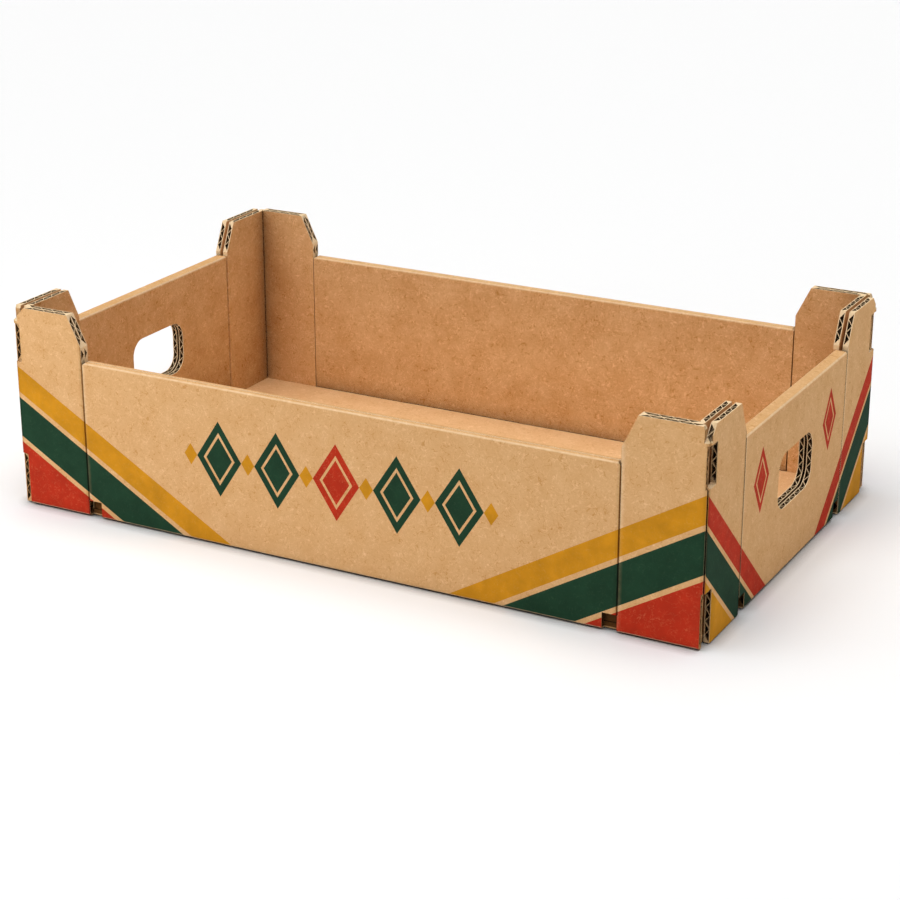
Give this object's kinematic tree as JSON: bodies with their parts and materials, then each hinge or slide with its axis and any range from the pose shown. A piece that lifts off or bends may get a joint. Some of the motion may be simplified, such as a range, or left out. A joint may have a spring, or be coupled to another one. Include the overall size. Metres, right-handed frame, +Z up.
{
  "type": "cardboard tray box",
  "caption": "Open stackable produce tray of folded corrugated cardboard, with rolled-over walls, hand holes in the short walls and tall notched corners backed by posts.",
  "frame": {"origin": "middle of the tray's footprint, on its underside", "axes": "+X along the long walls, +Y from the front long wall to the back one, +Z up out of the tray"},
  "size_m": [0.5, 0.3, 0.14],
  "materials": {
    "printed_kraft_board": "matt brown kraft liner with flat printed fields in dark green, brick red and ochre",
    "plain_kraft_board": "matt brown kraft liner, unprinted"
  },
  "bodies": {
    "root": {"tray_body": "printed_kraft_board", "corner_post_front_left": "plain_kraft_board", "corner_post_front_right": "plain_kraft_board", "corner_post_back_left": "plain_kraft_board", "corner_post_back_right": "plain_kraft_board"}
  },
  "joints": []
}
